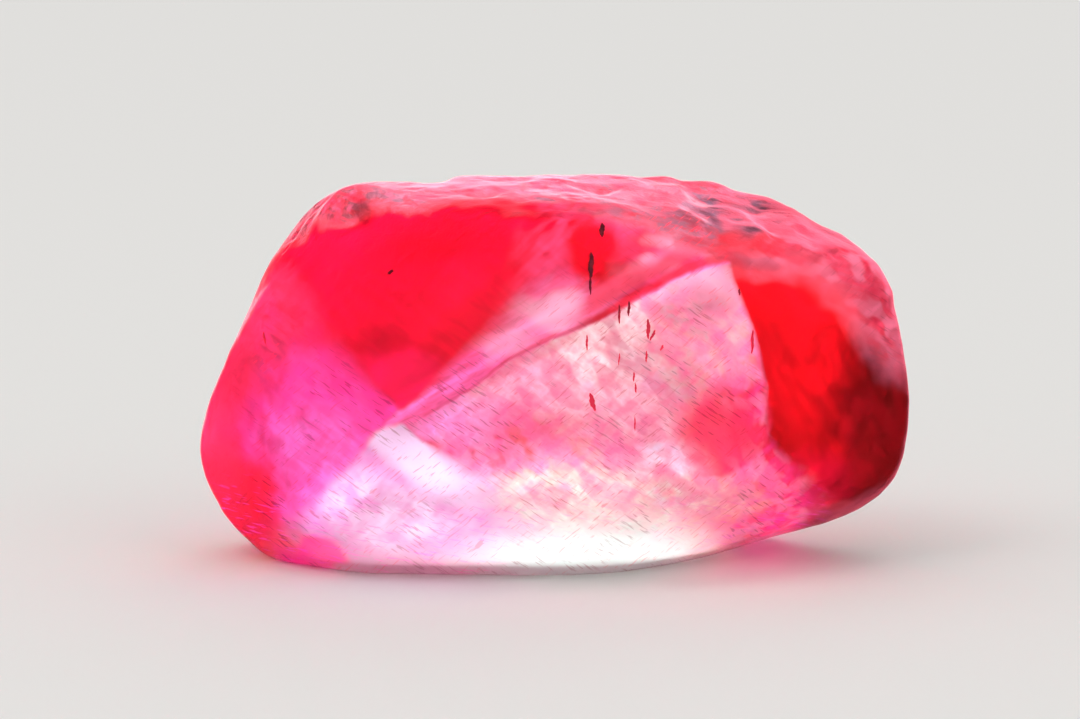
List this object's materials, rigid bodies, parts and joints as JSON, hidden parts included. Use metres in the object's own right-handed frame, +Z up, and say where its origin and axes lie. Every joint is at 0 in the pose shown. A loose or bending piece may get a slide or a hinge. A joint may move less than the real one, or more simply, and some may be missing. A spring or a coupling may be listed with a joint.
{
  "type": "raw ruby crystal",
  "caption": "Small raw ruby crystal, one water-worn and etched stone with a flat underside that it rests on.",
  "frame": {"origin": "Middle of the bounding box, on the flat underside that the stone rests on", "axes": "+X along the stone's length towards its darker end, +Y towards its back, +Z up"},
  "size_m": [0.02, 0.0124, 0.0107],
  "materials": {
    "raw_ruby": "etched and worn, see-through red"
  },
  "bodies": {
    "root": {"ruby_crystal": "raw_ruby"}
  },
  "joints": []
}
